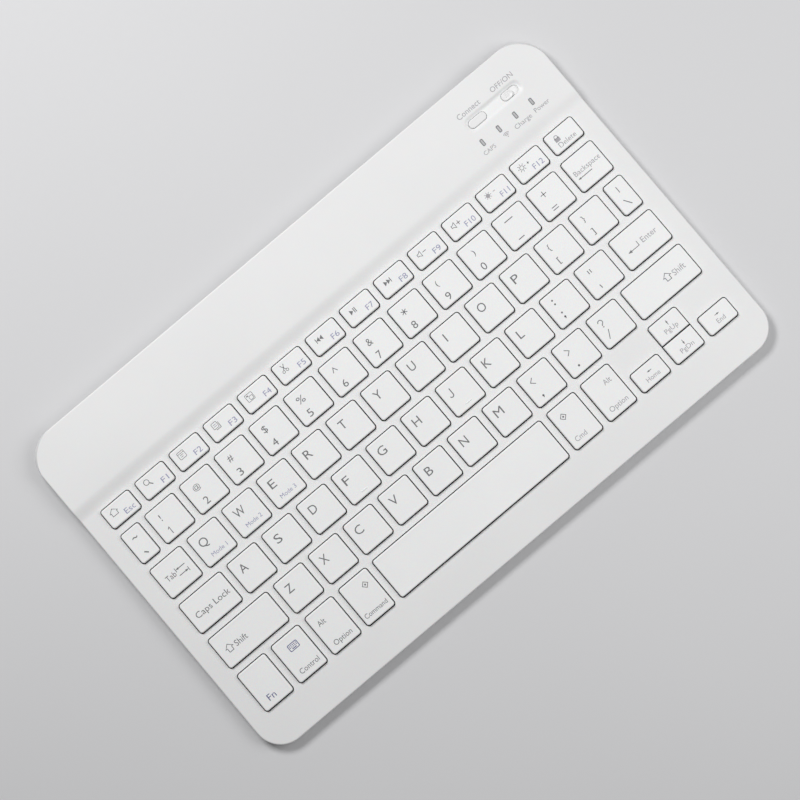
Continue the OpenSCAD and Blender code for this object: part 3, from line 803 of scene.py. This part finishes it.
LEGENDS = {f"key_{c}": [[(c.upper(), x, 5.1, 3.4, span)]] for c, (x, span) in LETTERS.items()}
LEGENDS["key_j"] = [[(":hook", 4.0, 5.1)]]
for char, (label, x) in MODES.items():
    LEGENDS[f"key_{char}"][0].append((label, x, 10.95, 1.65, 7.2, VIOLET))
LEGENDS |= {
    "digit_keys": [
        [("!", 4.75, 4.85, 2.75), (":one", 4.85, 10.85)],
        [("@", 5.45, 4.85, 2.75, 3.05), digit("2", 5.45)],
        [("#", 5.05, 4.75, 2.65, 2.2), digit("3", 4.9)],
        [("$", 4.9, 4.8, 3.2, 2.0), digit("4", 4.9, 2.1)],
        [("%", 5.45, 4.85, 2.9, 3.2), digit("5", 5.1)],
        [(":caret", 5.2, 4.4), digit("6", 5.2)],
        [("&", 4.9, 4.85, 2.9, 2.3), digit("7", 4.9, 1.85)],
        [(":star", 5.15, 4.7), digit("8", 5.15)],
        [("(", 4.3, 4.75, 2.8, 0.95), digit("9", 4.85)],
        [(")", 5.35, 4.75, 2.8, 0.95), digit("0", 5.1)]],
    "symbol_keys": [
        [("~", 4.45, 4.3, 0.85, 2.35), (":grave", 4.4, 11.2)],
        [(":underscore", 6.3, 3.5), (":hyphen", 5.85, 11.8)],
        [(":plus", 5.45, 4.7), (":equals", 5.7, 11.35)],
        [("{", 4.6, 4.53, 2.95, 1.05), ("[", 4.6, 10.5, 2.95, 0.95)],
        [("}", 4.4, 4.53, 2.95, 1.05), ("]", 4.4, 10.5, 2.95, 0.95)],
        [(":upright", 4.35, 4.35), (":backslash", 4.4, 10.2)],
        [(":colon", 4.4, 4.05), (":semicolon", 4.4, 10.0)],
        [(":double_quote", 5.1, 3.95), (":quote", 5.0, 10.95)],
        [(":less", 4.6, 4.65), (":comma", 4.6, 11.4)],
        [(":more", 4.9, 4.65), (":stop", 5.0, 11.2)],
        [(":question", 4.3, 4.8), (":slash", 4.2, 9.55)]],
    "function_keys": [
        *(function(*entry) for entry in FUNCTION_ROW),
        [(":lock", 4.35, 3.6, 1, None, PALE), ("Delete", 7.25, 6.5, 2.15, 7.8, PALE)]],
    "modifier_keys": [
        [("Fn", 5.8, 14.3, 2.5, 3.4, INDIGO)],
        [(":keys", 7.4, 5.4, 1, None, INDIGO), ("Control", 7.45, 14.65, 2.1, 8.9)],
        [("Alt", 4.5, 5.4, 2.15, 3.25), ("Option", 7.2, 14.65, 2.1, 8.2)],
        [(":sign", 9.55, 5.2), ("Command", 6.85, 14.7, 1.9, 10.4)],
        [(":sign", 4.65, 5.05), ("Cmd", 5.15, 14.7, 2.05, 5.1, PALE)],
        [("Alt", 9.3, 5.25, 2.15, 3.3, PALE), ("Option", 7.15, 14.65, 2.1, 8.3, PALE)]],
    "tab_key": [[("Tab", 5.4, 7.2, 2.2, 4.4), (":tab_left", 10.4, 6.5), (":tab_right", 10.4, 9.05)]],
    "caps_lock_key": [[("Caps Lock", 11.05, 7.75, 2.4, 15.9)]],
    "left_shift_key": [[(":shift", 5.25, 7.55), ("Shift", 10.5, 7.85, 2.35, 5.5)]],
    "right_shift_key": [[(":shift", 17.6, 7.15), ("Shift", 22.75, 7.6, 2.35, 5.5, PALE)]],
    "enter_key": [[(":return", 6.3, 7.4), ("Enter", 14.0, 7.5, 2.25, 7.0, PALE)]],
    "backspace_key": [[("Backspace", 8.0, 6.75, 2.0, 12.2, PALE), (":long_left", 5.25, 9.15)]],
    "left_arrow_key": [arrow_key("left", "Home", 7.2, 6.0)],
    "up_arrow_key": [arrow_key("up", "PgUp", 7.45, 5.9, 3.05, 5.7)],
    "down_arrow_key": [arrow_key("down", "PgDn", 7.4, 6.0, 3.6, 5.9)],
    "right_arrow_key": [arrow_key("right", "End", 7.3, 3.6)],
}


def print_mark(solid, place, mark, x, y, size=1, span=None, slot=GREY):
    """Adds a text or an icon to a solid, at x and y from a place."""
    at = (place[0] + x, place[1] + y, place[2])
    if mark[0] == ":":
        for verts, faces in ICONS[mark[1:]]:
            solid.add(([(vx * size, vy * size, vz) for vx, vy, vz in verts], faces), at, slot=slot)
    else:
        solid.add(words(mark, size, span), at, slot=slot)


def cap_name(cap):
    in_group = cap.node.endswith("_keys")
    return f"{cap.node.removesuffix('_keys')}_cap_{cap.number + 1:02d}" if in_group else cap.node


def build_key(cap):
    """A keycap and its legend."""
    left, back = cap.x - cap.w / 2 - CAP_GAP, cap.y + cap.d / 2 + CAP_GAP
    solid = Solid().add(keycap(cap), (cap.x, cap.y + CAP_SHIFT, 0))
    if cap.node in ("key_f", "key_j"):
        solid.add(homing_bar(), (cap.x, back - HOMING_Y, cap.top - DISH))
    stands_for = [cap.node] if cap.number == 0 else []
    solid.piece(f"{cap_name(cap)}.cap", cap.node, [key_white], "keycap_plastic", stands_for, sharp=40)
    if cap.node not in LEGENDS:
        return
    legend = Solid()
    for mark, x, y, *rest in LEGENDS[cap.node][cap.number]:
        print_mark(legend, (left, back, cap.top - DISH), mark, x, -y, *rest)
    legend.piece(f"{cap_name(cap)}.legend", cap.node, INKS, "keycap_plastic")


# ---- key mechanism

LEVER_L, LEVER_W = 9.2, 11
LEVER_BAR = 0.9
LEVER_THICK = 0.8
DOME_R = 2.8


def cap_reach(cap):
    """Height from the membrane to the underside of a cap's top."""
    return cap.top - CAP_TOP - MEMBRANE_TOP


def lever_sizes(cap):
    """Whether a key's levers lie across it, then their length, width and tilt."""
    across = cap.w < cap.d * 0.75
    hollow = [cap.w - 2 * CAP_WALL, cap.d - 2 * CAP_WALL]
    if across:
        hollow.reverse()
    length, width = min(LEVER_L, hollow[1] - LEVER_BAR), min(LEVER_W, hollow[0] - LEVER_BAR)
    rise = cap_reach(cap) / 2 - LEVER_BAR / 2
    return across, length, width, math.degrees(math.asin(rise / (length / 2)))


def lever(length, width):
    """A moulded frame with rounded bars."""
    b, t, e = LEVER_BAR, LEVER_THICK / 2, 0.18
    levels = [(0, -t + e), (0, t - e), (e, t), (b - e, t), (b, t - e), (b, -t + e), (b - e, -t), (e, -t)]
    return stack(width, length, 0.7, levels, 3, closed=True)


def dome(radius, height):
    """A soft skirt that rises to a thick-walled crown."""
    crown = 0.55 * radius
    profile = [(0, 1.4), (0.3 * radius, 1.4), (0.42 * radius, 1.2), (radius - 0.45, 0.05), (radius - 0.4, 0),
               (radius, 0), (radius, 0.2), (radius - 0.12, 0.42), (crown + 0.25, height * 0.55),
               (crown, height * 0.75), (crown, height - 0.12), (crown - 0.12, height), (crown * 0.5, height),
               (crown * 0.4, height - 0.2), (0, height - 0.2)]
    return lathe(profile, 24)


def build_mechanism(body):
    """The domes and levers under one body's caps."""
    domes, levers = Solid(), Solid()
    for cap in (c for c in caps if c.node == body):
        across, length, width, tilt = lever_sizes(cap)
        radius = min(DOME_R, (length / 2 - LEVER_BAR) * math.cos(math.radians(tilt)) - 0.25)
        reach = cap_reach(cap)
        domes.add(dome(radius, reach - 0.05), (cap.x, cap.y, MEMBRANE_TOP))
        turn = turned("Z", 90 if across else 0)
        middle = (cap.x, cap.y, MEMBRANE_TOP + reach / 2)
        levers.add(lever(length, width), middle, turn @ turned("X", tilt))
        inner = width - 2.1
        levers.add(lever(length, inner), middle, turn @ turned("X", -tilt))
        pin_r, pin_end = 0.2, inner / 2 + 0.6
        pin = lathe([(0, -pin_end), (pin_r, -pin_end), (pin_r, pin_end), (0, pin_end)], 12)
        levers.add(pin, middle, turn @ turned("Y", 90))
    first = body == KEY_BODIES[0]
    for solid, kind, material, node, slot in (
            (domes, "domes", dome_rubber, "rubber_domes", "dome_rubber"),
            (levers, "levers", lever_white, "scissor_levers", "lever_plastic")):
        obj = solid.piece(f"{body}.{kind}", "case", [material], slot, [node] if first else [])
        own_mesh(obj)


def tube(name, paths, radius, body, materials, replaces):
    """Round wires along smooth paths, each with its own material."""
    curve = bpy.data.curves.new(name, "CURVE")
    curve.dimensions = "3D"
    curve.bevel_depth = radius * MM
    curve.bevel_resolution = 3
    curve.use_fill_caps = True
    for index, path in enumerate(paths):
        spline = curve.splines.new("POLY")
        spline.points.add(len(path) - 1)
        for point, place in zip(spline.points, path):
            point.co = (*[c * MM for c in place], 1)
        spline.material_index = min(index, len(materials) - 1)
        spline.use_smooth = True
    for m in materials:
        curve.materials.append(m)
    obj = add_object(name, curve)
    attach(obj, body)
    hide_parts(*replaces)


def bent(points, radius=0.9, steps=5):
    """A path with its corners rounded."""
    path = [points[0]]
    for before, corner, after in zip(points, points[1:], points[2:]):
        a, b, c = Vector(before), Vector(corner), Vector(after)
        start = b + (a - b).normalized() * radius
        end = b + (c - b).normalized() * radius
        for k in range(steps + 1):
            t = k / steps
            path.append(tuple(start * (1 - t) ** 2 + b * 2 * t * (1 - t) + end * t ** 2))
    return path + [points[-1]]


WIRE_END = 2.55


def space_wire():
    """The space bar's wire: two ends in the pivots, two arms and the bar under the cap."""
    low, high = box_mm("space_stabilizer")
    pivot = next(j["pos_m"] for j in frame["joints"] if j["child"] == "space_stabilizer")
    px, py, pz = [c / MM for c in pivot]
    radius = pz - low.z
    bar_y, bar_z = high.y - radius, high.z - radius
    half = (high.x - low.x) / 2
    arm = half - WIRE_END
    path = bent([(px - half, py, pz), (px - arm, py, pz), (px - arm, bar_y, bar_z), (px + arm, bar_y, bar_z),
                 (px + arm, py, pz), (px + half, py, pz)])
    tube("space_wire", [path], radius, "space_stabilizer", [steel], ["space_stabilizer"])


# ---- controls and electronics

BUTTON_TIP_R = 1.0
FLANGE_TOP = STRIP_Z - SKIN    # underside of the cover's skin over the controls


def stadium(length, width, levels):
    return stack(length, width, width / 2 - 0.02, levels, 8)


def control_head(length, top, crown):
    """The part of a control that shows: a rounded edge, then the levels of its crown."""
    edge = [(0, FLANGE_TOP - 0.1), (0, top - 0.35), (0.05, top - 0.2), (0.14, top - 0.09), (0.28, top - 0.02)]
    return stadium(length, CONTROL_W - CONTROL_PLAY, edge + crown)


def connect_button():
    low, top = (corner.z for corner in button_box)
    flange = [(0.05, -0.4), (0, -0.35), (0, -0.1), (0.05, -0.05)]
    flange = stadium(9.2, 4.7, [(inset, FLANGE_TOP + z) for inset, z in flange])
    tip = [(0, low), (BUTTON_TIP_R - 0.1, low), (BUTTON_TIP_R, low + 0.08), (BUTTON_TIP_R, FLANGE_TOP - 0.3),
           (0, FLANGE_TOP - 0.3)]
    crown = [(0.45, top), (0.9, top), (1.3, top - 0.02)]
    head = control_head(BUTTON_L - CONTROL_PLAY, top, crown)
    button = Solid()
    for mesh in (head, flange, lathe(tip, 24)):
        button.add(mesh, (button_x, control_y, 0))
    button.piece("connect_button.cap", "connect_button", [control_white], "control_plastic",
                 ["connect_button"])


def power_slider():
    """The knob with three ridges, its carrier plate, and the switch's dark lever between two prongs."""
    low, top = (corner.z for corner in slider_box)
    crown = [(0.42, top), (0.55, top - 0.03), (0.75, top - 0.14), (1.0, top - 0.2)]
    ridge_levels = [(0, top - 0.3), (0, top - 0.12), (0.05, top - 0.05), (0.1, top - 0.04)]
    ridge = stack(0.26, 1.3, 0.12, ridge_levels, 3)
    prong = block(0.5, 1, 0.05, FLANGE_TOP - 0.85, FLANGE_TOP - 0.45, 0.04, 2)
    slider = Solid().add(control_head(KNOB_L, top, crown), (knob_x, control_y, 0))
    for k in (-1, 0, 1):
        slider.add(ridge, (knob_x + 0.6 * k, control_y, 0))
    slider.add(stadium(10.8, 5, [(0, FLANGE_TOP - 0.5), (0, FLANGE_TOP - 0.05)]), (knob_x, control_y, 0))
    for side in (-1, 1):
        slider.add(prong, (knob_x + side * 1.05, control_y, 0))
    lever_top = FLANGE_TOP - 0.56
    slider.add(block(1.4, 1, 0.1, low, lever_top, 0.05, 2), (knob_x, control_y, 0), slot=1)
    slider.piece("power_slider.knob", "power_slider", [control_white, resin_black], "control_plastic",
                 ["power_slider"])


def lamp_windows():
    """Translucent windows, each with a paler core and a flange under the cover's skin."""
    low, top = [c.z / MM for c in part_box("light_guides")]
    levels = [(0, low), (0, top - 0.1), (0.06, top - 0.03), (0.16, top), (0.24, top - 0.04),
              (0.4, top - 0.04)]
    window = stack(LAMP_W - 0.1, LAMP_L - 0.1, LAMP_R - 0.05, levels, 5)
    core = block(LAMP_W - 0.62, LAMP_L - 0.7, 0.2, top - 0.3, top - 0.03, 0.02)
    flange = block(LAMP_W + 0.8, LAMP_L + 0.8, 0.4, FLANGE_TOP - 0.5, FLANGE_TOP - 0.05, 0.05)
    solid = Solid()
    for x, y in lamps:
        for mesh, slot in ((window, 0), (core, 1), (flange, 0)):
            solid.add(mesh, (x, y, 0), slot=slot)
    solid.piece("lamp_windows", "case", [lamp_grey, lamp_core], "lamp_window", ["light_guides"])


# Words and icon printed on the strip: mark, x, y, size and width
PRINTED = [("Connect", 87.8, 64.65, 2.15, 10.55), ("OFF/ON", 103.95, 64.65, 2.0, 10.35),
           ("CAPS", 84.3, 47.9, 1.6, 5.4), (":waves", 92.85, 48.0, 0.95),
           ("Charge", 100.75, 47.95, 1.8, 7.75), ("Power", 109.95, 48.1, 1.75, 6.8)]


def printed_labels():
    labels = Solid()
    for entry in PRINTED:
        print_mark(labels, (0, 0, STRIP_Z), *entry)
    labels.piece("control_labels", "case", [ink_pale], "case_plastic")


def battery():
    """A foil pouch with a bulging body, a sealed edge all round and tape over its end."""
    low, high = box_mm("battery")
    w, d = high.x - low.x, high.y - low.y
    middle = ((low.x + high.x) / 2, (low.y + high.y) / 2, 0)
    bulge = [(0.7, low.z), (0.25, low.z + 0.15), (0.05, low.z + 0.6), (0, (low.z + high.z) / 2),
             (0.05, high.z - 0.6), (0.25, high.z - 0.2), (0.8, high.z - 0.05), (4, high.z)]
    pouch = Solid().add(stack(w - 2.4, d - 0.6, 1.5, bulge, 6), middle)
    pouch.add(block(w, d - 1.0, 0.6, low.z + 1.2, low.z + 1.5, 0.05), middle)
    pouch.add(block(3.2, d - 3, 0.3, low.z + 0.3, high.z - 0.1, 0.1), (high.x - 1.7, middle[1], 0), slot=1)
    pouch.piece("battery.pouch", "case", [foil, tape_amber], "battery_foil", ["battery"])


LEAD_R = 0.45
LEAD_END_X, LEAD_Y = 78.4, 57.5    # at the board's connector
LEAD_Z, LEAD_RISE = 3.5, 0.5


def lead_path(side, steps=48):
    """One lead's route from the battery to the board, in a gentle S beside the other."""
    start = box_mm("battery")[1].x
    path = []
    for k in range(steps + 1):
        apart = 0.7 + 1.1 * math.sin(math.pi * k / steps)
        sway = 2.3 * math.sin(2 * math.pi * k / steps)
        path.append((start + (LEAD_END_X - start) * k / steps, LEAD_Y + side * apart - sway,
                     LEAD_Z + LEAD_RISE * k / steps))
    return path


def battery_leads():
    paths = [lead_path(side) for side in (-1, 1)]
    tube("battery_leads.pair", paths, LEAD_R, "case", [lead_black, lead_red],
         ["battery_leads"])


def charging_socket():
    """A stamped shell, open to the back, round a tongue with five contacts."""
    low, high = socket_box
    w, h, d = high.x - low.x, high.z - low.z, high.y - low.y
    z = (low.z + high.z) / 2
    profile = [(0, -d), (0, -0.12), (0.05, 0), (0.25, 0), (0.3, -0.12), (0.3, -d + 0.5)]
    shell_rings = [[(px, y, pz) for px, pz in outline(w, h, 0.8, i, 4)[::-1]] for i, y in profile]
    socket = Solid().add(loft(shell_rings), (socket_x, high.y, z))
    tongue_y = high.y - d / 2 - 0.1
    socket.add(block(3.8, d - 1.3, 0.1, -0.28, 0.28, 0.06), (socket_x, tongue_y, z), slot=1)
    for k in range(5):
        contact_x = socket_x + (k - 2) * 0.65
        socket.add(block(0.3, d - 2, 0.03, -0.33, -0.2, 0.02), (contact_x, tongue_y, z), slot=2)
    socket.piece("charging_socket.shell", "case", [steel, resin_black, gold], "socket_shell",
                 ["charging_socket"])


# The membrane's black is partly painted shade for the gaps round the keycaps.
CARRIED = {"base_plate": plate_metal, "membrane": membrane_black_painted_gap_shade, "circuit_board": board_green,
           "board_components": resin_black, "power_switch": steel, "connect_switch": steel,
           "case_screws": steel}


def carried_over():
    """CAD nodes whose shape is right take their finish here."""
    for node, material in CARRIED.items():
        for slot in frame["nodes"][node].material_slots:
            slot.material = material


# ---- stage

def area_light(name, place, target, size, power):
    light = bpy.data.lights.new(name, "AREA")
    light.shape = "RECTANGLE"
    light.size, light.size_y = size
    light.energy = power
    obj = add_object(name, light)
    obj.location = place
    obj.rotation_euler = (Vector(target) - Vector(place)).to_track_quat("-Z", "Y").to_euler()


def stage():
    """A pale floor, a dim white surround, a key light behind the strip and a fill at the front right."""
    half = 3.0
    corners = [(-half, -half, 0), (half, -half, 0), (half, half, 0), (-half, half, 0)]
    floor = bpy.data.meshes.new("floor")
    floor.from_pydata(corners, [], [(0, 1, 2, 3)])
    floor.materials.append(surface("floor_pale", (0.66, 0.66, 0.67), (0.64, 0.64, 0.65), 0.7, patch=3,
                                   grain=400, bump=0.05))
    add_object("floor", floor)
    world = bpy.data.worlds.new("studio")
    bpy.context.scene.world = world
    world.use_nodes = True
    set_sockets(world.node_tree.nodes["Background"], Color=(1, 1, 1, 1), Strength=0.2)
    area_light("key_light", (-0.05, 0.45, 0.58), (0.05, 0.03, 0), (0.3, 0.2), 3.5)
    area_light("fill_light", (0.36, -0.2, 0.48), (0.05, 0, 0), (0.4, 0.4), 1.56)
    bpy.context.scene.view_settings.view_transform = "Standard"


def camera():
    """Nearly straight down from the front, turned so that the long side runs up to the right."""
    azimuth, elevation, roll = (math.radians(a) for a in (-7.67, 87.65, -32.5))
    target, distance = Vector((-0.00216, -0.00203, 0)), 0.9433
    back = Vector((math.sin(azimuth) * math.cos(elevation), -math.cos(azimuth) * math.cos(elevation),
                   math.sin(elevation)))
    right = Vector((math.cos(azimuth), math.sin(azimuth), 0))
    up = back.cross(right)
    x = right * math.cos(roll) + up * math.sin(roll)
    y = up * math.cos(roll) - right * math.sin(roll)
    data = bpy.data.cameras.new("camera")
    data.lens = 112.5
    data.sensor_width = 36
    obj = add_object("camera", data)
    turn = Matrix((x, y, back)).transposed().to_4x4()
    obj.matrix_world = Matrix.Translation(target + back * distance) @ turn
    bpy.context.scene.camera = obj


camera()
stage()
top_cover()
bottom_cover()
rubber_feet()
for cap in caps:
    build_key(cap)
for body in KEY_BODIES:
    build_mechanism(body)
space_wire()
connect_button()
power_slider()
lamp_windows()
printed_labels()
battery()
battery_leads()
charging_socket()
carried_over()
